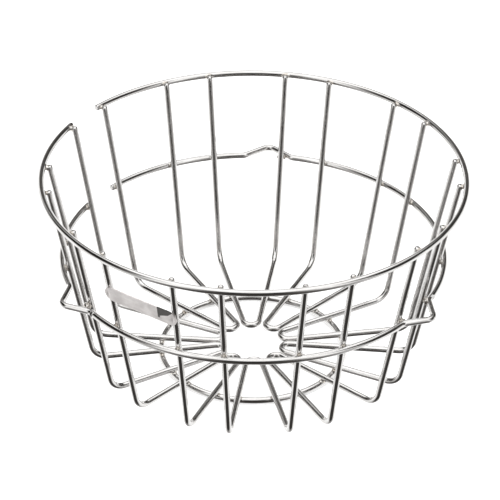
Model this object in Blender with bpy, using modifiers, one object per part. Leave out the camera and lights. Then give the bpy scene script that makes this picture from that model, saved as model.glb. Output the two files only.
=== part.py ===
"""Wire filter basket: a round, tapering insert of welded steel wire that holds a paper filter
inside the funnel of a commercial coffee brewer.

Ten hairpin wires make the wall and the floor. Each runs down the wall, bends inward along the
floor, makes a U-turn near the middle, and goes back out and up the wall. Two open rings, one at
the rim and one about half way up, hold the wall wires from outside. A closed ring under the
floor ties the spokes together and is what the basket stands on. The half-way ring has three lugs
that keep the basket centred in its funnel, and a blank sheet strip lies across the outside of
two wall wires.

Frame: metres, +Z up. The origin is on the basket's axis, on the plane it stands on.
Angles are in degrees about +Z, anticlockwise from +X.
"""
import bpy
import math
from mathutils import Matrix, Vector

# ---------------------------------------------------------------- driving dimensions
NAME = "wire_filter_basket"
WIRE_D = 0.0032              # diameter of every wire
WELD_GAP = 0.00015           # space kept between two pieces that are welded together

WALL_HEIGHT = 0.0997         # floor wires' centre plane up to the rim ring's centre plane
RIM_R = 0.102                # wall wires' centreline radius at the rim ring
FLOOR_R = 0.0818             # radius where the wall and floor centrelines would meet
MID_HEIGHT = 0.0548          # half-way ring above the floor wires' centre plane
BASE_RING_R = 0.0469         # base ring, centreline radius

HAIRPINS = 10
HAIRPIN_PITCH = 35.9         # between neighbouring hairpins; what is left over widens the gap
GAP_ANGLE = 144.0            # middle of the rings' opening
RIM_HALF = 11.22             # a hairpin's half angle at the rim
FLOOR_HALF = 10.57           # ... and at the floor corner
FLOOR_BEND_R = 0.0083        # wall-to-floor bend, centreline
UTURN_R = 0.0041             # U-turn near the middle, centreline
UTURN_APEX = 0.0157          # radius of the U-turn's innermost point
TIP_ABOVE_RIM = 0.0009       # wall wires' cut ends above the rim ring's centre plane
RING_END = 0.0028            # ring ends past the wall wires beside the gap

LUG_ANGLES = (61.0, 180.0, 299.0)   # from the gap, in rising order
LUG_OUT = 0.0089             # lug's tip beyond the ring, centreline
LUG_HALF = 7.4               # half the lug's width at its foot, degrees
LUG_TIP_R = 0.0045           # bend at the tip, centreline
LUG_FOOT_R = 0.0050          # bends at the feet, centreline

TAG_HAIRPIN = 2              # index of the hairpin that carries the strip; 0 is next to the gap
TAG_HEIGHT = 0.0085          # its ends are half circles
TAG_T = 0.0006               # sheet thickness
TAG_Z = 0.0764               # strip's middle above the floor wires' centre plane
TAG_OVER = 0.0020            # how far it reaches past each wire's centreline
TAG_TILT = 2.0               # degrees; it hangs lower on its anticlockwise side

# ---------------------------------------------------------------- mesh and path resolution
WIRE_BEVEL_RESOLUTION = 2
RING_STEP = 3.75             # longest step along an open ring, degrees
FLOOR_BEND_STEPS = 6
UTURN_STEPS = 7              # from a spoke to the U-turn's apex
LUG_TIP_STEPS = 6
LUG_FOOT_STEPS = 4
BASE_SEGMENTS = 72
BASE_SIDES = 14              # an even count that is not a multiple of four puts a flat underneath
TAG_END_STEPS = 16
TAG_SHARP_ANGLE = 35         # degrees; sharper edges of the strip are not smoothed

# ---------------------------------------------------------------- derived dimensions
WIRE_R = WIRE_D / 2
BASE_Z = WIRE_R * math.cos(math.pi / BASE_SIDES)     # also half the base ring's faceted height
FLOOR_Z = 2 * BASE_Z + WELD_GAP + WIRE_R             # floor wires' centre plane
LEAN = math.atan2(RIM_R - FLOOR_R, WALL_HEIGHT)      # of the wall, from vertical
RING_OFFSET = (WIRE_D + WELD_GAP) / math.cos(LEAN)   # wall wire out to ring, level
RIM_RING_R = RIM_R + RING_OFFSET
MID_RING_R = FLOOR_R + (RIM_R - FLOOR_R) * MID_HEIGHT / WALL_HEIGHT + RING_OFFSET


# ---------------------------------------------------------------- scene and materials
def clear_scene():
    for obj in list(bpy.data.objects):
        bpy.data.objects.remove(obj, do_unlink=True)


def collection(name):
    col = bpy.data.collections.get(name) or bpy.data.collections.new(name)
    if col.name not in bpy.context.scene.collection.children:
        bpy.context.scene.collection.children.link(col)
    return col


def metal(name, colour, roughness):
    mat = bpy.data.materials.new(name)
    mat.use_nodes = True
    bsdf = mat.node_tree.nodes["Principled BSDF"]
    bsdf.inputs["Base Color"].default_value = (*colour, 1.0)
    bsdf.inputs["Roughness"].default_value = roughness
    bsdf.inputs["Metallic"].default_value = 1.0
    mat.diffuse_color = (*colour, 1.0)
    return mat


# ---------------------------------------------------------------- path helpers
def polar(radius, degrees, z=0.0):
    angle = math.radians(degrees)
    return Vector((radius * math.cos(angle), radius * math.sin(angle), z))


def mirrored(points):
    """The same path on the other side of the XZ plane, run backwards."""
    return [Vector((p.x, -p.y, p.z)) for p in reversed(points)]


def fillet(before, corner, after, radius, steps):
    """Points of the arc of the given radius that rounds a corner of a path."""
    to_before = (before - corner).normalized()
    to_after = (after - corner).normalized()
    half = to_before.angle(to_after) / 2
    centre = corner + (to_before + to_after).normalized() * (radius / math.sin(half))
    start = corner + to_before * (radius / math.tan(half)) - centre
    axis = to_before.cross(to_after)
    sweep = 2 * half - math.pi
    return [centre + Matrix.Rotation(sweep * i / steps, 3, axis) @ start
            for i in range(steps + 1)]


def wire(name, points, mat, col):
    """A round wire along a path of points, with closed, square-cut ends."""
    data = bpy.data.curves.new(name, "CURVE")
    data.dimensions = "3D"
    data.twist_mode = "MINIMUM"
    data.bevel_depth = WIRE_R
    data.bevel_resolution = WIRE_BEVEL_RESOLUTION
    data.use_fill_caps = True
    spline = data.splines.new("POLY")
    spline.points.add(len(points) - 1)
    for point, place in zip(spline.points, points):
        point.co = (*place, 1.0)
    spline.use_smooth = True
    data.materials.append(mat)
    obj = bpy.data.objects.new(name, data)
    col.objects.link(obj)
    return obj


# ---------------------------------------------------------------- hairpin wires
# Hairpins and strip are made in a hairpin's own frame: x outward along its middle, y
# anticlockwise, z from the floor wires' centre plane.
def hairpin_angle(i):
    """Centre angle of hairpin i, counted anticlockwise from the gap."""
    gap = 360.0 - HAIRPIN_PITCH * (HAIRPINS - 1)
    return GAP_ANGLE + gap / 2 + HAIRPIN_PITCH * i


def place_on_hairpin(obj, i):
    obj.location = (0, 0, FLOOR_Z)
    obj.rotation_euler = (0, 0, math.radians(hairpin_angle(i)))


def wall_point(height):
    """Centreline of a hairpin's +y wall wire at a height above the floor wires."""
    foot = polar(FLOOR_R, FLOOR_HALF)
    top = polar(RIM_R, RIM_HALF, WALL_HEIGHT)
    return foot.lerp(top, height / WALL_HEIGHT)


def hairpin_points():
    foot = wall_point(0.0)
    top = wall_point(WALL_HEIGHT + TIP_ABOVE_RIM)
    centre = Vector((UTURN_APEX + UTURN_R, 0.0, 0.0))
    # the spoke is the tangent from the floor corner to the U-turn's circle
    to_foot = foot - centre
    first = math.atan2(to_foot.y, to_foot.x) + math.acos(UTURN_R / to_foot.length)
    turn = []
    for i in range(UTURN_STEPS + 1):
        angle = first + (math.pi - first) * i / UTURN_STEPS
        turn.append(centre + Vector((math.cos(angle), math.sin(angle), 0.0)) * UTURN_R)
    half = [top] + fillet(top, foot, turn[0], FLOOR_BEND_R, FLOOR_BEND_STEPS) + turn
    return half + mirrored(half[:-1])


def hairpin_wires(mat, col):
    path = hairpin_points()
    for i in range(HAIRPINS):
        obj = wire(f"hairpin_wire_{i + 1:02d}", path, mat, col)
        place_on_hairpin(obj, i)


# ---------------------------------------------------------------- rings
def ring_span(radius, height):
    """First and last angle of an open ring, past the wall wires beside the gap."""
    side = wall_point(height)
    reach = math.degrees(math.atan2(side.y, side.x) + RING_END / radius)
    return hairpin_angle(0) - reach, hairpin_angle(HAIRPINS - 1) + reach


def arc_points(radius, start, stop, z):
    count = max(1, math.ceil((stop - start) / RING_STEP))
    return [polar(radius, start + (stop - start) * i / count, z) for i in range(count + 1)]


def top_ring(mat, col):
    start, stop = ring_span(RIM_RING_R, WALL_HEIGHT)
    points = arc_points(RIM_RING_R, start, stop, FLOOR_Z + WALL_HEIGHT)
    wire("top_ring", points, mat, col)


def lug_points():
    """A lug centred on +X at z = 0: the ring turns outward, round a small tip, and back."""
    foot = polar(MID_RING_R, -LUG_HALF)
    far_foot = polar(MID_RING_R, LUG_HALF)
    back_along_ring = polar(1.0, -LUG_HALF - 90)
    # the tip's corner stands further out than the rounded tip does
    slope = math.atan2(LUG_OUT, MID_RING_R * math.sin(math.radians(LUG_HALF)))
    corner_out = LUG_OUT + LUG_TIP_R * (1 / math.cos(slope) - 1)
    tip = polar(MID_RING_R + corner_out, 0)
    foot_bend = fillet(foot + back_along_ring, foot, tip, LUG_FOOT_R, LUG_FOOT_STEPS)
    tip_bend = fillet(foot, tip, far_foot, LUG_TIP_R, LUG_TIP_STEPS)
    return foot_bend + tip_bend + mirrored(foot_bend)


def mid_ring(mat, col):
    z = FLOOR_Z + MID_HEIGHT
    start, stop = ring_span(MID_RING_R, MID_HEIGHT)
    lug = lug_points()
    lug_half = math.degrees(math.atan2(lug[-1].y, lug[-1].x))   # with its foot bends
    points = []
    for lug_angle in LUG_ANGLES:
        angle = GAP_ANGLE + lug_angle
        turn = Matrix.Rotation(math.radians(angle), 3, "Z")
        points += arc_points(MID_RING_R, start, angle - lug_half, z)[:-1]
        points += [turn @ p + Vector((0, 0, z)) for p in lug]
        start = angle + lug_half
    points += arc_points(MID_RING_R, start, stop, z)[1:]
    wire("mid_ring", points, mat, col)


def base_ring(mat, col):
    bpy.ops.mesh.primitive_torus_add(major_segments=BASE_SEGMENTS, minor_segments=BASE_SIDES,
                                     major_radius=BASE_RING_R, minor_radius=WIRE_R,
                                     location=(0, 0, BASE_Z))
    base = bpy.context.active_object
    base.name = base.data.name = "base_ring"
    base.data.materials.append(mat)
    base.data.shade_smooth()
    for owner in list(base.users_collection):
        owner.objects.unlink(base)
    col.objects.link(base)


# ---------------------------------------------------------------- blank strip
def tag_outline():
    """Mid-sheet outline of the strip, in its hairpin's frame."""
    wall, rim = wall_point(TAG_Z), wall_point(WALL_HEIGHT)
    up = Vector((rim.x - wall.x, 0, rim.z - wall.z)).normalized()
    out = Vector((up.z, 0, -up.x))
    centre = Vector((wall.x, 0, wall.z)) + out * (WIRE_R + WELD_GAP + TAG_T / 2)
    end_r = TAG_HEIGHT / 2
    end_y = wall.y + TAG_OVER - end_r
    drop = math.tan(math.radians(TAG_TILT))
    outline = []
    for end, y in enumerate((end_y, -end_y)):
        for i in range(TAG_END_STEPS + 1):
            angle = math.pi * (i / TAG_END_STEPS + end - 0.5)
            across = y + end_r * math.cos(angle)
            rise = end_r * math.sin(angle) - across * drop
            outline.append(centre + Vector((0, across, 0)) + up * rise)
    return outline


def name_tag(mat, col):
    """A thin flat strip with round ends, laid across the outside of two wall wires."""
    outline = tag_outline()
    data = bpy.data.meshes.new("name_tag")
    data.from_pydata(outline, [], [range(len(outline))])
    data.materials.append(mat)
    obj = bpy.data.objects.new("name_tag", data)
    col.objects.link(obj)
    sheet = obj.modifiers.new("sheet", "SOLIDIFY")
    sheet.thickness = TAG_T
    sheet.offset = 0.0
    sheet.use_even_offset = True
    data.shade_smooth()
    data.set_sharp_from_angle(angle=math.radians(TAG_SHARP_ANGLE))
    place_on_hairpin(obj, TAG_HAIRPIN)


# ---------------------------------------------------------------- the basket
def build():
    clear_scene()
    col = collection(NAME)
    bright = metal("bright_wire", colour=(0.72, 0.71, 0.70), roughness=0.12)
    satin = metal("satin_strip", colour=(0.74, 0.71, 0.70), roughness=0.30)

    top_ring(bright, col)
    mid_ring(bright, col)
    base_ring(bright, col)
    hairpin_wires(bright, col)
    name_tag(satin, col)


build()
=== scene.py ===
"""A round basket of bright steel wire, standing upright about the Z axis. Ten hairpins of wire make
its wall and floor; a rim ring, a half-way ring with three pointed lugs and a base ring are welded
to them. One wide gap between hairpins is centred at GAP_ANGLE, counted from +X toward +Y. A blank
strip of sheet lies across one hairpin's wall wires. Metres throughout; angles in degrees."""
import math

import bpy
import numpy as np
from mathutils import Matrix, Vector


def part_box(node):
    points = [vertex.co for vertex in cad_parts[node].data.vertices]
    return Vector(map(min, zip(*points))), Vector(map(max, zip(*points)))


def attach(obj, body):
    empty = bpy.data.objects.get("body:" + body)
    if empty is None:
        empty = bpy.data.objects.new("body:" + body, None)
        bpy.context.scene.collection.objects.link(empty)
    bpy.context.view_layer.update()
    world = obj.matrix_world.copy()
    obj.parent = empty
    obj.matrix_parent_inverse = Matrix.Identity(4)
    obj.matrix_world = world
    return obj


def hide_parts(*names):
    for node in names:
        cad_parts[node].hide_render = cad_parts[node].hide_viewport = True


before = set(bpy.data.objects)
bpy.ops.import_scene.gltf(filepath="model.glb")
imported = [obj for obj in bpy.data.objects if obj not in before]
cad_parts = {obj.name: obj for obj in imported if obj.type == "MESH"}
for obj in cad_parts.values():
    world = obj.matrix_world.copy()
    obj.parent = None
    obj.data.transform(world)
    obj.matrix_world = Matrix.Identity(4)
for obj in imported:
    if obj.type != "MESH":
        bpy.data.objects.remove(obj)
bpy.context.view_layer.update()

# ---------------------------------------------------------------- sizes
WIRE_R = 0.0016
WIRE_SIDES = 24
WELD_GAP = 0.00015                          # between the surfaces of two welded wires
HAIRPINS = 10
HAIRPIN_PITCH = 35.9
GAP_ANGLE = 144.0
RIM_HALF, FLOOR_HALF = 11.22, 10.57         # a wall wire's angle from its hairpin's middle
RIM_R, FLOOR_R = 0.102, 0.0818              # where the wall wires' centrelines stand
WALL_HEIGHT, MID_HEIGHT = 0.0997, 0.0548    # above the floor wires
FLOOR_BEND_R = 0.0083
UTURN_R, UTURN_APEX = 0.0041, 0.0157        # the apex is measured from the basket's axis
TIP_ABOVE_RIM = 0.0009
HAIRPIN_END_ROUND, RING_END_ROUND = 0.0011, 0.0006
RING_END = 0.0028                           # open rings run this far past the last wall wires
LUG_ANGLES, LUG_OUT, LUG_HALF = (61.0, 180.0, 299.0), 0.0089, 7.4   # angles from the gap
LUG_TIP_R, LUG_FOOT_R = 0.0045, 0.0050
TAG_HAIRPIN, TAG_HEIGHT, TAG_T, TAG_Z = 2, 0.0085, 0.0006, 0.0764
TAG_OVER, TAG_TILT = 0.0020, 2.0            # reach past the wall wires; slope along the strip


def middle_z(piece):
    lo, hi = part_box(piece)
    return (lo.z + hi.z) / 2


Z_RIM, Z_MID, Z_BASE = (middle_z(ring) for ring in ("top_ring", "mid_ring", "base_ring"))
FLOOR_Z = Z_RIM - WALL_HEIGHT
LEAN = math.atan2(RIM_R - FLOOR_R, WALL_HEIGHT)
OUT_STEP = (2 * WIRE_R + WELD_GAP) / math.cos(LEAN)
RIM_RING_R = RIM_R + OUT_STEP
MID_RING_R = FLOOR_R + (RIM_R - FLOOR_R) * MID_HEIGHT / WALL_HEIGHT + OUT_STEP
BASE_RING_R = 0.0469

# Each ring's welds: object name, ring radius, ring height, how widely the fillets blend
WELD_RINGS = (
    ("rim_welds", RIM_RING_R, Z_RIM, 0.0017),
    ("half_way_welds", MID_RING_R, Z_MID, 0.0014),
    ("base_welds", BASE_RING_R, Z_BASE, 0.0014),
)

# how much higher or lower than even each hairpin's two tips stand
rises = np.random.default_rng(7).uniform(-0.00025, 0.00035, (HAIRPINS, 2))


# ---------------------------------------------------------------- geometry helpers
def vec(*parts):
    return np.array(parts, float)


def polar(radius, deg, z=0.0):
    angle = math.radians(deg)
    return vec(radius * math.cos(angle), radius * math.sin(angle), z)


def unit(vector):
    return vector / np.linalg.norm(vector)


def turned(points, deg):
    """Points turned about +Z."""
    angle = math.radians(deg)
    cos, sin = math.cos(angle), math.sin(angle)
    out = points.copy()
    out[..., 0] = points[..., 0] * cos - points[..., 1] * sin
    out[..., 1] = points[..., 0] * sin + points[..., 1] * cos
    return out


def placed(points, deg):
    """Points from a hairpin's own frame, turned to its angle and lifted to the floor wires."""
    return turned(points, deg) + vec(0, 0, FLOOR_Z)


def fillet(before, corner, after, radius, steps):
    """The arc that rounds a corner between two straight runs."""
    to_before, to_after = unit(before - corner), unit(after - corner)
    half = math.acos(float(np.clip(to_before @ to_after, -1, 1))) / 2
    centre = corner + unit(to_before + to_after) * (radius / math.sin(half))
    start = corner + to_before * (radius / math.tan(half)) - centre
    axis = Vector(np.cross(to_before, to_after)).normalized()
    sweep = -(math.pi - 2 * half)
    return [centre + np.array(Matrix.Rotation(sweep * i / steps, 3, axis) @ Vector(start))
            for i in range(steps + 1)]


def arc(radius, start, stop, z, step=1.5):
    count = max(1, math.ceil((stop - start) / step))
    return [polar(radius, start + (stop - start) * i / count, z) for i in range(count + 1)]


def distances(path):
    return np.linalg.norm(np.diff(path, axis=0), axis=1)


def resample(path, step):
    """The same path with added points, so that none are more than a step apart."""
    out = []
    for a, b, length in zip(path[:-1], path[1:], distances(path)):
        count = max(1, int(math.ceil(length / step)))
        out += [a + (b - a) * i / count for i in range(count)]
    return np.array(out + [path[-1]])


def add_mesh(name, verts, faces, smooth=True):
    mesh = bpy.data.meshes.new(name)
    mesh.from_pydata(verts, [], faces)
    if smooth:
        mesh.shade_smooth()
    obj = bpy.data.objects.new(name, mesh)
    bpy.context.scene.collection.objects.link(obj)
    return obj


def set_uvs(obj, uvs):
    layer = obj.data.uv_layers.new(name="UVMap")
    layer.data.foreach_set("uv", np.array(uvs, np.float32).ravel())


def set_values(obj, name, values):
    layer = obj.data.attributes.new(name, "FLOAT", "POINT")
    layer.data.foreach_set("value", values.astype(np.float32).ravel())


# ---------------------------------------------------------------- wires
HEAT_REACH = 0.0042     # how far a weld's tint spreads


def heat(points, weld_spots):
    """How near each point is to a weld, from 0 to 1."""
    nearest = np.full(len(points), 1.0)
    for spot in weld_spots:
        nearest = np.minimum(nearest, np.linalg.norm(points - spot, axis=1))
    return np.exp(-(nearest / HEAT_REACH) ** 2)


def path_frames(path, closed):
    """Tangents, normals and binormals along a path that doesn't start upright, without twist."""
    if closed:
        tangents = np.roll(path, -1, 0) - np.roll(path, 1, 0)
    else:
        tangents = np.gradient(path, axis=0)
    tangents /= np.linalg.norm(tangents, axis=1)[:, None]
    normals = [unit(np.cross(tangents[0], vec(0, 0, 1)))]
    for tangent in tangents[1:]:
        normals.append(unit(normals[-1] - tangent * (normals[-1] @ tangent)))
    normals = np.array(normals)
    if closed:          # spread the angle left over round the loop
        last = unit(normals[-1] - tangents[0] * (normals[-1] @ tangents[0]))
        left = math.atan2(float(np.cross(last, normals[0]) @ tangents[0]),
                          float(last @ normals[0]))
        angles = (left * np.arange(len(path)) / len(path))[:, None]
        normals = normals * np.cos(angles) + np.cross(tangents, normals) * np.sin(angles)
    return tangents, normals, np.cross(tangents, normals)


def end_rings(centre, outward, normal, binormal, rounding, along):
    """A rounded end's rings, from the wire's side in to the middle of its flat."""
    steps = 5
    rings = []
    for j in range(1, steps + 1):
        angle = math.pi / 2 * j / steps
        rings.append((centre + outward * (rounding * (math.sin(angle) - 1)), normal, binormal,
                      WIRE_R - rounding * (1 - math.cos(angle)), along))
    flat_radius = rings[-1][3]
    return rings + [(centre, normal, binormal, flat_radius * share, along)
                    for share in (0.66, 0.33)]


def wire_rings(path, along, end_round):
    """The wire's sections: centre, normal, binormal, radius and distance along the wire."""
    tangents, normals, binormals = path_frames(path, end_round is None)
    body = [(path[i], normals[i], binormals[i], WIRE_R, along[i]) for i in range(len(path))]
    if end_round is None:
        return body
    total = along[-1]
    body = [ring for ring in body
            if ring[4] >= end_round * 0.999 and total - ring[4] >= end_round * 0.999]
    first, last = (normals[0], binormals[0]), (normals[-1], binormals[-1])
    head = (path[0] + tangents[0] * end_round, *first, WIRE_R, end_round)
    tail = (path[-1] - tangents[-1] * end_round, *last, WIRE_R, total - end_round)
    return (end_rings(path[0], -tangents[0], *first, end_round, 0.0)[::-1] + [head] + body
            + [tail] + end_rings(path[-1], tangents[-1], *last, end_round, total))


def wire(name, path, mat, weld_spots, end_round=None):
    """A round wire along a path, with rounded ends, or a closed loop where end_round is None.
    UV: once round the wire in U, metres along it in V."""
    closed = end_round is None
    along = np.concatenate([[0], np.cumsum(distances(path))])
    rings = wire_rings(path, along, end_round)
    angles = np.arange(WIRE_SIDES) * 2 * math.pi / WIRE_SIDES
    cos, sin = np.cos(angles)[:, None], np.sin(angles)[:, None]
    verts = np.vstack([centre + radius * (cos * normal + sin * binormal)
                       for centre, normal, binormal, radius, _ in rings]).tolist()
    count = len(rings)
    stations = [ring[4] for ring in rings]
    if closed:
        stations.append(along[-1] + np.linalg.norm(path[0] - path[-1]))
    faces, uvs = [], []
    for i in range(count if closed else count - 1):
        here, ahead = i * WIRE_SIDES, (i + 1) % count * WIRE_SIDES
        v0, v1 = stations[i], stations[i + 1]
        for k in range(WIRE_SIDES):
            m = (k + 1) % WIRE_SIDES
            u0, u1 = k / WIRE_SIDES, (k + 1) / WIRE_SIDES
            faces.append((here + k, here + m, ahead + m, ahead + k))
            uvs += [(u0, v0), (u1, v0), (u1, v1), (u0, v1)]
    if not closed:
        for ring, flip in ((0, True), (count - 1, False)):
            middle, base = len(verts), ring * WIRE_SIDES
            verts.append(list(rings[ring][0]))
            for k in range(WIRE_SIDES):
                a, b = base + k, base + (k + 1) % WIRE_SIDES
                faces.append((b, a, middle) if flip else (a, b, middle))
                uvs += [(k / WIRE_SIDES, stations[ring])] * 3
    obj = add_mesh(name, verts, faces)
    set_uvs(obj, uvs)
    set_values(obj, "heat", heat(np.array(verts), weld_spots))
    obj.data.materials.append(mat)
    return obj


# ---------------------------------------------------------------- the wires' paths
def hairpin_angle(i):
    gap = 360.0 - HAIRPIN_PITCH * (HAIRPINS - 1)
    return GAP_ANGLE + gap / 2 + HAIRPIN_PITCH * i


def wall_point(height):
    """A point on the +Y wall wire in a hairpin's own frame."""
    foot = polar(FLOOR_R, FLOOR_HALF)
    top = polar(RIM_R, RIM_HALF, WALL_HEIGHT)
    return foot + (top - foot) * (height / WALL_HEIGHT)


def hairpin_path(rise=(0.0, 0.0)):
    """One hairpin's centreline in its own frame: x outward, floor wires at z 0."""
    foot = wall_point(0.0)
    centre = vec(UTURN_APEX + UTURN_R, 0, 0)
    to_foot = foot - centre
    first = (math.atan2(to_foot[1], to_foot[0])
             + math.acos(UTURN_R / np.linalg.norm(to_foot)))
    turn = [centre + UTURN_R * vec(math.cos(angle), math.sin(angle), 0)
            for angle in (first + (math.pi - first) * i / 16 for i in range(17))]
    halves = []
    for tip_rise in rise:
        top = wall_point(WALL_HEIGHT + TIP_ABOVE_RIM + tip_rise)
        halves.append(np.array([top] + fillet(top, foot, turn[0], FLOOR_BEND_R, 16) + turn))
    mirrored = halves[1] * vec(1, -1, 1)
    return resample(np.vstack([halves[0], mirrored[::-1][1:]]), 0.004)


def ring_span(radius, height):
    """The angles between which an open ring runs, across all but the wide gap."""
    x, y, _ = wall_point(height)
    half = math.degrees(math.atan2(y, x))
    extra = math.degrees(RING_END / radius)
    return hairpin_angle(0) - half - extra, hairpin_angle(HAIRPINS - 1) + half + extra


def lug(radius, angle, z):
    """An outward point in a ring, with a rounded tip and rounded feet."""
    start, stop = angle - LUG_HALF, angle + LUG_HALF
    foot_a, foot_b = polar(radius, start, z), polar(radius, stop, z)
    back = vec(math.sin(math.radians(start)), -math.cos(math.radians(start)), 0)
    onward = -vec(math.sin(math.radians(stop)), -math.cos(math.radians(stop)), 0)
    slope = math.atan2(LUG_OUT, radius * math.sin(math.radians(LUG_HALF)))
    tip = polar(radius + LUG_OUT + LUG_TIP_R * (1 / math.cos(slope) - 1), angle, z)
    return (fillet(foot_a + back, foot_a, tip, LUG_FOOT_R, 8)
            + fillet(foot_a, tip, foot_b, LUG_TIP_R, 14)
            + fillet(tip, foot_b, foot_b + onward, LUG_FOOT_R, 8))


def mid_ring_path():
    at, stop = ring_span(MID_RING_R, MID_HEIGHT)
    path = []
    for offset in LUG_ANGLES:
        angle = GAP_ANGLE + offset
        bump = lug(MID_RING_R, angle, Z_MID)
        ends = [math.degrees(math.atan2(point[1], point[0])) for point in (bump[0], bump[-1])]
        ends = [end + 360 * round((angle - end) / 360) for end in ends]
        path += arc(MID_RING_R, at, ends[0], Z_MID)[:-1] + bump
        at = ends[1]
    return np.array(path + arc(MID_RING_R, at, stop, Z_MID)[1:])


def wobble(path, radial, vertical, seed):
    """The slight waviness of a ring that was rolled and welded by hand."""
    rng = np.random.default_rng(seed)
    angle = np.arctan2(path[:, 1], path[:, 0])
    out_by, up_by = np.zeros(len(path)), np.zeros(len(path))
    for waves in (2, 3, 5, 8, 13):
        out_by += np.sin(waves * angle + rng.uniform(0, 6.28)) / waves
        up_by += np.sin(waves * angle + rng.uniform(0, 6.28)) / waves
    out = path.copy()
    out[:, 0] += np.cos(angle) * out_by * radial
    out[:, 1] += np.sin(angle) * out_by * radial
    out[:, 2] += up_by * vertical
    return out


# ---------------------------------------------------------------- welds
WELD_CELLS, WELD_CELL = 26, 0.00026         # the sampling grid round each weld
WELD_REACH = 0.0025                         # a fillet ends within this of its middle
UNEVEN, UNEVEN_SCALE = 0.16, 0.003          # share and wavelength of the fillet's unevenness
SIZE_VARIATION = 0.12                       # from weld to weld
SKIN, SINK = 0.00001, 0.00024               # above the wires at the fillet, below beyond it
SINK_FROM, SINK_OVER = 0.80, 0.30           # where sinking starts and how long it takes, in blends
SPOKE_INNER_X = 0.030                       # gives the floor wire's direction
JUST_INSIDE = -0.00002


def torus_distance(points, radius, z):
    """Distance to a ring's surface."""
    return np.hypot(np.hypot(points[..., 0], points[..., 1]) - radius, points[..., 2] - z) - WIRE_R


def rod_distance(points, start, end):
    """Distance to a straight hairpin wire that runs from start to a rounded end."""
    along = unit(end - start)
    beyond = (points - end) @ along
    off_axis = np.linalg.norm((points - end) - beyond[..., None] * along, axis=-1)
    side, tip = off_axis - (WIRE_R - HAIRPIN_END_ROUND), beyond + HAIRPIN_END_ROUND
    return (np.minimum(np.maximum(side, tip), 0)
            + np.hypot(np.maximum(side, 0), np.maximum(tip, 0)) - HAIRPIN_END_ROUND)


def smooth_noise(points, seed, scale):
    rng = np.random.default_rng(seed)
    out = np.zeros(points.shape[:-1])
    for _ in range(5):
        way = rng.normal(0, 1, 3)
        out += np.sin((points @ way) * (2 * math.pi / scale) / np.linalg.norm(way)
                      + rng.uniform(0, 6.28))
    return out / 5


def other_axes(axis):
    return [k for k in range(3) if k != axis]


def fill_pinches(value, corners, at_corner, count):
    """Fills in corners where others are inside only crosswise, over a face or through a cell,
    because these would pinch the surface."""
    rising, falling = ((0, 0), (1, 1)), ((1, 0), (0, 1))
    filled = True
    while filled:
        filled = False
        for axis in range(3):
            first, second = other_axes(axis)
            face = {}
            for d1, d2 in rising + falling:
                part = [slice(None)] * 3
                part[first], part[second] = slice(d1, count + d1), slice(d2, count + d2)
                face[d1, d2] = tuple(part)
            for (in_a, in_b), (out_a, out_b) in ((rising, falling), (falling, rising)):
                cross = ((value[face[in_a]] < 0) & (value[face[in_b]] < 0)
                         & (value[face[out_a]] >= 0) & (value[face[out_b]] >= 0))
                value[face[out_a]][cross] = JUST_INSIDE
                filled = filled or bool(cross.any())
        for c in corners[:4]:
            number = sum((value[part] < 0).astype(int) for part in at_corner.values())
            far = tuple(1 - d for d in c)
            beside = (1 - c[0], c[1], c[2])
            near_in, far_in = value[at_corner[c]] < 0, value[at_corner[far]] < 0
            lone = near_in & far_in & (number == 2)
            hole = ~near_in & ~far_in & (number == 6)
            value[at_corner[beside]][lone] = JUST_INSIDE
            value[at_corner[c]][hole] = JUST_INSIDE
            filled = filled or bool(lone.any() or hole.any())


def surface_net(field, low, cell, count):
    """The closed zero surface of a field on a grid: one vertex for each cell it passes through."""
    steps = np.arange(count + 1) * cell
    x, y, z = np.meshgrid(low[0] + steps, low[1] + steps, low[2] + steps, indexing="ij")
    value = field(np.stack([x, y, z], -1))
    corners = [(i, j, k) for i in (0, 1) for j in (0, 1) for k in (0, 1)]
    at_corner = {c: tuple(slice(d, count + d) for d in c) for c in corners}
    fill_pinches(value, corners, at_corner, count)
    inside = value < 0

    # each vertex is the mean of the places where the surface crosses its cell's edges
    total, crossings = np.zeros((count, count, count, 3)), np.zeros((count, count, count))
    edges = [(a, b) for a in corners for b in corners
             if sum(abs(u - w) for u, w in zip(a, b)) == 1 and a < b]
    for a, b in edges:
        value_a, value_b = value[at_corner[a]], value[at_corner[b]]
        cross = inside[at_corner[a]] != inside[at_corner[b]]
        share = np.where(cross, value_a / np.where(cross, value_a - value_b, 1), 0)
        for axis in range(3):
            total[..., axis] += np.where(cross, a[axis] + (b[axis] - a[axis]) * share, 0)
        crossings += cross
    used = crossings > 0
    index = np.full((count, count, count), -1)
    index[used] = np.arange(used.sum())
    verts = (np.argwhere(used) + total[used] / crossings[used][:, None]) * cell + low

    # a quad joins the four cells round each crossed grid edge
    quads = []
    for axis in range(3):
        first, second = other_axes(axis)
        part = [slice(1, count)] * 3
        part[axis] = slice(0, count)
        inside_a = inside[tuple(part)]
        part[axis] = slice(1, count + 1)
        inside_b = inside[tuple(part)]
        for place in np.argwhere(inside_a != inside_b):
            ring = []
            for d1, d2 in ((1, 1), (0, 1), (0, 0), (1, 0)):
                around = place.copy()
                around[first] += d1
                around[second] += d2
                ring.append(index[tuple(around)])
            outward = bool(inside_a[tuple(place)]) != (axis == 1)
            quads.append(ring if outward else ring[::-1])
    return verts, quads


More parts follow.
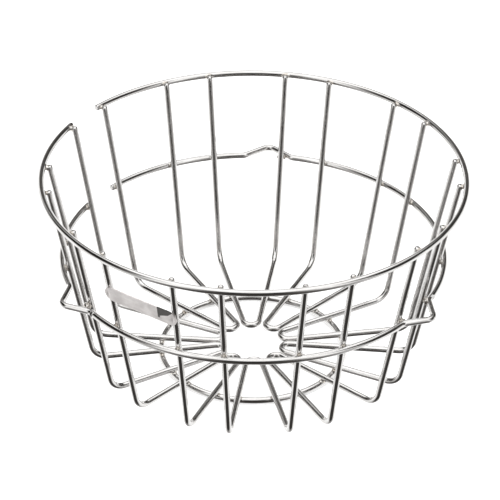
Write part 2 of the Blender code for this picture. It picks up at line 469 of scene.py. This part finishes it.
def weld_patch(ring_radius, ring_z, rod_start, rod_end, middle, seed, blend):
    """The fillet that joins a ring and a straight wire: a smooth, slightly uneven union of their
    surfaces. Away from the fillet it sinks under the wires' surfaces and ends inside them, so it
    is one thick body with no feather edge."""
    def field(points):
        ring = torus_distance(points, ring_radius, ring_z)
        rod = rod_distance(points, rod_start, rod_end)
        width = blend * (1 + UNEVEN * smooth_noise(points, seed, UNEVEN_SCALE))
        apart = np.abs(ring - rod) / width
        near = np.maximum(1 - apart, 0)
        sunk = np.clip((apart - SINK_FROM) / SINK_OVER, 0, 1)
        joined = (np.minimum(ring, rod) - near * near * width / 4 - SKIN
                  + SINK * sunk * sunk * (3 - 2 * sunk))
        return np.maximum(joined, np.linalg.norm(points - middle, axis=-1) - WELD_REACH)
    low = middle - vec(1, 1, 1) * WELD_CELLS * WELD_CELL / 2
    return surface_net(field, low, WELD_CELL, WELD_CELLS)


def make_welds():
    """Every weld's middle, and the fillets grouped by object name."""
    spots, patches = [], {name: [] for name, *_ in WELD_RINGS}
    run = hairpin_path()
    run = run[(np.abs(run[:, 2]) < 1e-6) & (run[:, 1] > 0)]
    spoke_outer = run[np.argmax(run[:, 0])]
    spoke_inner = run[np.argmin(np.abs(run[:, 0] - SPOKE_INNER_X))]
    for i in range(HAIRPINS):
        for side, rise in zip((1, -1), rises[i]):
            tip = wall_point(WALL_HEIGHT + TIP_ABOVE_RIM + rise)
            foot, top, outer, inner = (placed(point * vec(1, side, 1), hairpin_angle(i))
                                       for point in (wall_point(0.0), tip, spoke_outer, spoke_inner))
            for name, radius, z, blend in WELD_RINGS:
                # the ring's and the straight wire's nearest points
                if name == "base_welds":
                    start, end = outer, outer + (inner - outer) * 3
                    reach = np.linspace(0, np.linalg.norm(end - start), 4000)
                    line = start + reach[:, None] * unit(end - start)
                    off_ring = np.abs(np.hypot(line[:, 0], line[:, 1]) - radius)
                    on_wire = line[np.argmin(off_ring)]
                else:
                    start, end = foot, top
                    along = unit(end - start)
                    on_wire = start + along * ((z - start[2]) / along[2])
                on_ring = unit(on_wire * vec(1, 1, 0)) * radius + vec(0, 0, z)
                middle = (on_wire + on_ring) / 2
                spots.append(middle)
                seed = 100 + len(spots)
                size = 1 + SIZE_VARIATION * math.sin(seed * 1.7)
                patches[name].append(
                    weld_patch(radius, z, start, end, middle, seed, blend * size))
    return spots, patches


def weld_object(name, patches, mat):
    verts, faces = [], []
    for patch_verts, quads in patches:
        base = len(verts)
        verts += patch_verts.tolist()
        faces += [[base + i for i in quad] for quad in quads]
    obj = add_mesh(name, verts, faces)
    obj.data.materials.append(mat)
    even = obj.modifiers.new("even", "SMOOTH")
    even.factor = 0.5
    even.iterations = 2
    return obj


# ---------------------------------------------------------------- shader helpers
class Graph:
    """Adds nodes to a shader tree. A value may be a number, a tuple or another node's output."""

    def __init__(self, tree):
        self.tree = tree

    def feed(self, socket, value):
        if isinstance(value, (int, float)):
            socket.default_value = value
        elif isinstance(value, tuple):
            socket.default_value = (*value, 1.0) if socket.type == "RGBA" else value
        else:
            self.tree.links.new(value, socket)

    def node(self, kind, **inputs):
        new = self.tree.nodes.new(kind)
        for key, value in inputs.items():
            self.feed(new.inputs[key.replace("_", " ")], value)
        return new

    def operate(self, kind, operation, values):
        new = self.node(kind)
        new.operation = operation
        for socket, value in zip(new.inputs, values):
            self.feed(socket, value)
        return new

    def math(self, operation, *values):
        return self.operate("ShaderNodeMath", operation, values).outputs[0]

    def vector(self, operation, *values, output="Vector"):
        return self.operate("ShaderNodeVectorMath", operation, values).outputs[output]

    def ramp(self, value, over, to=(0.0, 1.0), smooth=True):
        """Carries the range `over` to the range `to`."""
        new = self.node("ShaderNodeMapRange", Value=value, From_Min=over[0], From_Max=over[1],
                        To_Min=to[0], To_Max=to[1])
        new.interpolation_type = "SMOOTHSTEP" if smooth else "LINEAR"
        return new.outputs["Result"]

    def mix(self, share, first, second):
        """Goes from the first colour to the second."""
        new = self.node("ShaderNodeMix")
        new.data_type = "RGBA"
        for socket, value in ((0, share), (6, first), (7, second)):
            self.feed(new.inputs[socket], value)
        return new.outputs[2]

    def noise(self, coords, scale, detail, roughness=0.5):
        return self.node("ShaderNodeTexNoise", Vector=coords, Scale=scale, Detail=detail,
                         Roughness=roughness).outputs["Fac"]

    def bump(self, height, strength, distance, **normal):
        return self.node("ShaderNodeBump", Height=height, Strength=strength, Distance=distance,
                         **normal)

    def attribute(self, name):
        new = self.node("ShaderNodeAttribute")
        new.attribute_name = name
        return new.outputs["Fac"]

    def coords(self, output="Object"):
        return self.node("ShaderNodeTexCoord").outputs[output]

    def uv(self):
        new = self.node("ShaderNodeUVMap")
        new.uv_map = "UVMap"
        return new.outputs["UV"]

    def mapped(self, coords, **placing):
        return self.node("ShaderNodeMapping", Vector=coords, **placing).outputs["Vector"]


def new_material(name):
    """A material, its graph, and a function that sets the shader's inputs."""
    mat = bpy.data.materials.new(name)
    mat.use_nodes = True
    graph = Graph(mat.node_tree)
    shader = mat.node_tree.nodes["Principled BSDF"]

    def finish(**inputs):
        for key, value in inputs.items():
            graph.feed(shader.inputs[key.replace("_", " ")], value)
    return mat, graph, finish


# ---------------------------------------------------------------- materials
def bright_wire():
    """Drawn and bright-finished steel wire: faint lines along the wire from the die, soft cloudy
    patches where it has been handled, and a straw tint beside the welds."""
    mat, graph, finish = new_material("bright_wire")
    stretched = graph.mapped(graph.uv(), Scale=(9.0, 26.0, 1.0))
    lines = graph.noise(stretched, scale=6.0, detail=3.0, roughness=0.6)
    place = graph.coords()
    cloud = graph.noise(place, scale=85.0, detail=4.0, roughness=0.55)
    pits = graph.noise(place, scale=900.0, detail=2.0)
    warm = graph.attribute("heat")

    clean, handled = (0.76, 0.75, 0.74), (0.69, 0.675, 0.66)
    die_line, straw = (0.62, 0.61, 0.60), (0.66, 0.58, 0.47)
    tone = graph.mix(graph.ramp(cloud, over=(0.35, 0.68)), clean, handled)
    tone = graph.mix(graph.ramp(lines, over=(0.38, 0.66), to=(0.0, 0.3)), tone, die_line)
    tint = graph.math("MULTIPLY", warm, graph.ramp(cloud, over=(0.3, 0.7), to=(0.15, 0.42)))
    tone = graph.mix(tint, tone, straw)

    # rougher in the cloudy patches, beside welds and on the die lines
    rough = graph.ramp(cloud, over=(0.3, 0.72), to=(0.075, 0.15))
    rough = graph.math("ADD", rough, graph.math("MULTIPLY", warm, 0.07))
    rough = graph.math("ADD", rough, graph.ramp(lines, over=(0.45, 0.75), to=(0.0, 0.05)))
    drawn = graph.bump(lines, strength=0.10, distance=0.00012)
    pitted = graph.bump(pits, strength=0.12, distance=0.00006, Normal=drawn.outputs["Normal"])
    finish(Base_Color=tone, Metallic=1.0, Roughness=rough, Normal=pitted.outputs["Normal"])
    return mat


def weld_metal():
    """Metal that flowed at a weld: duller, finely pitted, straw to grey."""
    mat, graph, finish = new_material("weld_metal")
    place = graph.coords()
    cloud = graph.noise(place, scale=420.0, detail=4.0, roughness=0.6)
    fine = graph.noise(place, scale=1900.0, detail=2.0)
    grey, straw = (0.76, 0.74, 0.71), (0.62, 0.56, 0.49)
    pitted = graph.bump(fine, strength=0.3, distance=0.00012)
    finish(Base_Color=graph.mix(graph.ramp(cloud, over=(0.35, 0.66)), grey, straw),
           Metallic=1.0,
           Roughness=graph.ramp(cloud, over=(0.3, 0.7), to=(0.16, 0.32)),
           Normal=pitted.outputs["Normal"])
    return mat


def satin_strip():
    """Thin rolled sheet: fine lines along the strip, cloudy handling marks, scratches, and at one
    end a dark patch that is a painted reflection, its borders broken up by noise."""
    mat, graph, finish = new_material("satin_strip")
    flat = graph.uv()
    stretched = graph.mapped(flat, Scale=(60.0, 2600.0, 1.0))
    grain = graph.noise(stretched, scale=1.0, detail=3.0, roughness=0.55)
    slanted = graph.mapped(flat, Rotation=(0.0, 0.0, 0.9), Scale=(90.0, 1900.0, 1.0))
    scratch = graph.noise(slanted, scale=1.0, detail=1.0, roughness=0.4)
    cloud = graph.noise(graph.coords(), scale=190.0, detail=4.0, roughness=0.6)

    clean, handled = (0.90, 0.865, 0.85), (0.80, 0.765, 0.75)
    grain_line, scratched = (0.72, 0.685, 0.67), (0.55, 0.50, 0.49)
    # dark: the colour of the painted reflection near one end of the strip
    dark = (0.050, 0.046, 0.043)
    tone = graph.mix(graph.ramp(cloud, over=(0.35, 0.66)), clean, handled)
    tone = graph.mix(graph.ramp(grain, over=(0.42, 0.66), to=(0.0, 0.35)), tone, grain_line)
    line = graph.ramp(scratch, over=(0.68, 0.74))
    tone = graph.mix(graph.math("MULTIPLY", line, 0.3), tone, scratched)

    # the painted reflection, a dark patch, from its place on the sheet, its borders broken up by the
    # noise
    ragged = graph.ramp(cloud, over=(0.2, 0.8), to=(-0.12, 0.12), smooth=False)
    broken = graph.math("ADD", graph.attribute("painted_reflection"), ragged)
    painted_reflection = graph.ramp(broken, over=(0.42, 0.56))
    # the painted reflection is also made less metallic
    metallic = graph.math("SUBTRACT", 1.0, graph.math("MULTIPLY", painted_reflection, 0.75))

    rough = graph.math("ADD", graph.ramp(cloud, over=(0.32, 0.7), to=(0.36, 0.46)),
                       graph.ramp(grain, over=(0.4, 0.7), to=(0.0, 0.07)))
    rolled = graph.bump(grain, strength=0.16, distance=0.00006)
    cut = graph.bump(line, strength=0.25, distance=0.00005, Normal=rolled.outputs["Normal"])
    cut.invert = True
    finish(Base_Color=graph.mix(painted_reflection, tone, dark), Metallic=metallic, Roughness=rough,
           Normal=cut.outputs["Normal"])
    return mat


def pale_floor():
    """Matt white, glowing a little like a table lit from below."""
    mat, graph, finish = new_material("pale_floor")
    soft = graph.noise(graph.coords(), scale=3.0, detail=2.0)
    finish(Base_Color=graph.mix(soft, (0.86, 0.86, 0.86), (0.88, 0.88, 0.88)), Roughness=0.9,
           Specular_IOR_Level=0.0, Emission_Color=(1.0, 1.0, 1.0), Emission_Strength=0.5)
    return mat


# ---------------------------------------------------------------- the blank strip
def painted_reflection_mark(along, high):
    """Where the painted reflection lies, a dark patch beside one end, above 0.5 inside it: it fills
    the upper half and narrows toward the end. Millimetres, from where the round end begins and from
    the middle line."""
    body = np.minimum.reduce([along + 6.2, 2.1 - along, high + 0.96 - 0.405 * (along + 6.1),
                              high - 1.35 - 0.95 * (along + 0.4)])
    tail = np.minimum.reduce([along + 6.4, -5.3 - along, high + 1.9])
    softness = 0.8
    return np.clip(0.5 + np.maximum(body, tail) / softness, 0, 1)


def strip(mat):
    """A thin sheet with round ends across two wall wires, not quite flat, with a dimple at each
    spot weld and rounded edges. Here y runs along the strip and t across it."""
    wall, above = wall_point(TAG_Z), wall_point(TAG_Z + 0.01)
    up = unit((above - wall) * vec(1, 0, 1))
    out = vec(up[2], 0, -up[0])
    centre = wall * vec(1, 0, 1) + out * (WIRE_R + WELD_GAP + TAG_T / 2)
    radius = TAG_HEIGHT / 2
    straight = wall[1] + TAG_OVER - radius      # half the straight part's length
    rows, straight_cols = 23, 93
    phi = np.radians(np.linspace(5.0, 90.0, 15))[:-1]
    y = np.concatenate([straight + radius * np.cos(phi),
                        np.linspace(straight, -straight, straight_cols),
                        -(straight + radius * np.cos(phi[::-1]))])
    half = np.concatenate([radius * np.sin(phi), np.full(straight_cols, radius),
                           radius * np.sin(phi[::-1])])
    cols = len(y)
    t = np.linspace(-1, 1, rows)[:, None] * half[None, :]
    y = y[None, :] + 0 * t

    # two gentle waves, then a dimple over each wall wire
    relief = 0.00005 * np.sin(y / 0.0061 + 0.8) + 0.00004 * np.sin(t / 0.0031 + y / 0.011)
    depth, dimple_y, dimple_t, below = 0.00014, 0.0006, 0.0015, 0.0003
    for side in (1, -1):
        relief -= depth * np.exp(-((y - side * wall[1]) / dimple_y) ** 2
                                 - ((t + below) / dimple_t) ** 2)
    drop = math.tan(math.radians(TAG_TILT))
    grid = (centre + y[..., None] * vec(0, 1, 0) + (t - y * drop)[..., None] * up
            + relief[..., None] * out)
    verts = placed(grid.reshape(-1, 3), hairpin_angle(TAG_HAIRPIN))
    faces, uvs = [], []
    for i in range(rows - 1):
        for j in range(cols - 1):
            quad = ((i, j + 1), (i, j), (i + 1, j), (i + 1, j + 1))
            faces.append([row * cols + col for row, col in quad])
            uvs += [(straight - y[spot] + radius, t[spot] + radius) for spot in quad]
    obj = add_mesh("name_strip", verts.tolist(), faces)
    set_uvs(obj, uvs)
    # where the painted reflection, a dark patch near one end, lies on the sheet
    set_values(obj, "painted_reflection", painted_reflection_mark((y - straight) * 1000, t * 1000))
    obj.data.materials.append(mat)
    sheet = obj.modifiers.new("sheet", "SOLIDIFY")
    sheet.thickness = TAG_T
    sheet.offset = 0.0
    sheet.use_even_offset = True
    edges = obj.modifiers.new("edges", "BEVEL")
    edges.width = 0.00016
    edges.segments = 3
    edges.limit_method = "ANGLE"
    edges.angle_limit = math.radians(50)
    edges.harden_normals = True
    return obj


# ---------------------------------------------------------------- the basket
def basket():
    steel, nugget, satin = bright_wire(), weld_metal(), satin_strip()
    spots, patches = make_welds()
    pieces = []

    def add_wire(name, replaced, path, end_round=None):
        obj = wire(name, path, steel, spots, end_round)
        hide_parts(replaced)
        pieces.append((obj, "bright_wire"))

    for i in range(HAIRPINS):
        add_wire("hairpin_%02d_wire" % (i + 1), "hairpin_wire_%02d" % (i + 1),
                 placed(hairpin_path(tuple(rises[i])), hairpin_angle(i)), HAIRPIN_END_ROUND)
    rim = np.array(arc(RIM_RING_R, *ring_span(RIM_RING_R, WALL_HEIGHT), Z_RIM))
    add_wire("rim_ring_wire", "top_ring",
             wobble(rim, radial=0.00005, vertical=0.00006, seed=3), RING_END_ROUND)
    half_way = resample(mid_ring_path(), 0.0026)
    add_wire("half_way_ring_wire", "mid_ring",
             wobble(half_way, radial=0.00004, vertical=0.00006, seed=4), RING_END_ROUND)
    add_wire("base_ring_wire", "base_ring",
             np.array(arc(BASE_RING_R, 0, 360, Z_BASE, step=2.5)[:-1]))
    for name, group in patches.items():
        pieces.append((weld_object(name, group, nugget), "bright_wire"))
    tag = strip(satin)
    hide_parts("name_tag")
    pieces.append((tag, "satin_strip"))
    for obj, slot in pieces:
        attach(obj, "root")


# ---------------------------------------------------------------- floor, light and camera
def add_floor():
    corners = [(-6, -6, 0), (6, -6, 0), (6, 6, 0), (-6, 6, 0)]
    floor = add_mesh("floor", corners, [(0, 1, 2, 3)], smooth=False)
    floor.data.materials.append(pale_floor())
    floor.visible_glossy = False


# The studio: a white table and sweep, a white ceiling of cloth, and between them the unlit parts of
# the room. Each: middle azimuth, half width, softness at the low- and high-azimuth sides, lowest
# and highest elevation, softness below and above, brightness.
ROOM = [
    (0, 400, 30, 30, -120, -70, 10, 34, 0.58),      # straight down, under the basket
    (178, 25, 26, 30, 14, 46, 12, 20, 0.80),        # behind the camera
    (184, 54, 74, 73, -81, -4, 20, 8, 0.38),        # the camera's side, past the table's edge
    (180, 67, 26, 26, -74, -42, 14, 12, 0.24),
    (180, 26, 30, 30, -44, -10, 12, 8, 0.29),
    (180, 26, 34, 34, -13, 31, 9, 14, 0.20),        # a black card under the camera
    (86, 39, 30, 24, 12, 51, 14, 12, 0.27),         # right
    (105, 12, 12, 14, -7, 23, 12, 12, 0.20),
    (116, 14, 17, 23, -12, -2, 19, 13, 0.38),
    (0, 14, 14, 14, 23, 41, 8, 10, 0.32),           # over the sweep
    (36, 24, 16, 24, 13, 45, 12, 12, 0.23),
    (337, 16, 16, 16, 17, 44, 12, 12, 0.34),
    (278, 36, 36, 20, 6, 53, 20, 10, 0.17),         # left
    (255, 16, 16, 23, -8, 11, 11, 14, 0.28),
]
ROOM_GLOW = (1.06, 1.19)            # brightness straight down and straight up, before the parts
ROOM_TINT = (0.07, 0.0, -0.06)      # red, green and blue added where the room is unlit
DIFFUSE_GLOW = (1.25, 1.25, 1.25)   # what lights the matt surfaces


def add_world():
    """A room that turns with the camera, seen only in reflections."""
    world = bpy.data.worlds.new("studio")
    bpy.context.scene.world = world
    world.use_nodes = True
    world.node_tree.nodes.clear()
    graph = Graph(world.node_tree)
    look = graph.coords("Generated")
    ahead = graph.node("ShaderNodeVectorTransform", Vector=(0, 0, 1))
    ahead.vector_type = "VECTOR"
    ahead.convert_from, ahead.convert_to = "CAMERA", "WORLD"

    def dot(first, second):
        return graph.vector("DOT_PRODUCT", first, second, output="Value")

    level = graph.vector("NORMALIZE", graph.vector("MULTIPLY", ahead.outputs[0], (1, 1, 0)))
    away = dot(look, level)             # straight away from the camera
    side = dot(look, graph.vector("CROSS_PRODUCT", level, (0, 0, 1)))
    elevation = graph.math("DEGREES", graph.math("ARCSINE", dot(look, (0, 0, 1))))
    # 0 away, 90 right, 180 toward the camera
    azimuth = graph.math("DEGREES", graph.math("ARCTAN2", side, away))

    def edge(value, at, softness, to):
        return graph.ramp(value, over=(at - softness / 2, at + softness / 2), to=to)

    rise, fall = (0.0, 1.0), (1.0, 0.0)
    glow = graph.ramp(elevation, over=(-90.0, 90.0), to=ROOM_GLOW)
    for mid, half, soft_left, soft_right, low, high, soft_low, soft_high, tone in ROOM:
        off = graph.math("WRAP", graph.math("SUBTRACT", azimuth, mid), 180.0, -180.0)
        cover = graph.math("MULTIPLY", edge(off, -half, soft_left, rise),
                           edge(off, half, soft_right, fall))
        cover = graph.math("MULTIPLY", cover, edge(elevation, low, soft_low, rise))
        cover = graph.math("MULTIPLY", cover, edge(elevation, high, soft_high, fall))
        kept = graph.math("MULTIPLY", glow, graph.math("SUBTRACT", 1.0, cover))
        glow = graph.math("ADD", kept, graph.math("MULTIPLY", cover, tone))
    bright = graph.math("POWER", glow, 2.2)
    warmth = graph.ramp(glow, over=(0.1, 0.9), to=fall)
    colour = graph.node("ShaderNodeCombineColor")
    for socket, amount in zip(colour.inputs, ROOM_TINT):
        tint = graph.math("ADD", graph.math("MULTIPLY", warmth, amount), 1.0)
        graph.feed(socket, graph.math("MULTIPLY", bright, tint))
    ray = graph.node("ShaderNodeLightPath").outputs
    seen = graph.mix(ray["Is Camera Ray"], colour.outputs[0], (1.0, 1.0, 1.0))
    seen = graph.mix(ray["Is Diffuse Ray"], seen, DIFFUSE_GLOW)
    back = graph.node("ShaderNodeBackground", Color=seen)
    graph.node("ShaderNodeOutputWorld", Surface=back.outputs[0])


def add_lamp():
    """A soft square lamp above the basket, aimed at its lower part."""
    place, target = Vector((0.1, 0.25, 1.5)), Vector((0, 0, 0.03))
    lamp = bpy.data.lights.new("overhead", "AREA")
    lamp.shape = "RECTANGLE"
    lamp.size = lamp.size_y = 1.6
    lamp.energy = 1.5
    obj = bpy.data.objects.new("overhead", lamp)
    bpy.context.scene.collection.objects.link(obj)
    obj.location = place
    obj.rotation_euler = (target - place).to_track_quat("-Z", "Y").to_euler()
    obj.visible_glossy = False


def add_camera():
    """A long lens on the -Y side, looking down at a point on the basket's axis."""
    distance, target_z = 1.392708, 0.0561102 + FLOOR_Z
    down, roll, heading = math.radians(32.5448), math.radians(0.5793), math.radians(-2.6118)
    data = bpy.data.cameras.new("camera")
    camera = bpy.data.objects.new("camera", data)
    bpy.context.scene.collection.objects.link(camera)
    data.sensor_width = 36.0
    data.lens = 198.889416
    data.shift_x, data.shift_y = -0.0065606, 0.000348
    data.clip_start, data.clip_end = 0.05, 50
    forward = Vector((0, math.cos(down), -math.sin(down)))
    right, up = Vector((1, 0, 0)), Vector((0, math.sin(down), math.cos(down)))
    rolled_right = right * math.cos(roll) + up * math.sin(roll)
    rolled_up = -right * math.sin(roll) + up * math.cos(roll)
    facing = Matrix((rolled_right, rolled_up, -forward)).transposed()
    place = Vector((0, -distance * math.cos(down), target_z + distance * math.sin(down)))
    turn = Matrix.Rotation(heading, 3, "Z")
    camera.matrix_world = Matrix.LocRotScale(turn @ place, (turn @ facing).to_quaternion(), None)
    bpy.context.scene.camera = camera


basket()
add_floor()
add_world()
add_lamp()
add_camera()

view = bpy.context.scene.view_settings
view.view_transform = "Standard"
view.look = "None"
view.exposure, view.gamma = 0.0, 1.0
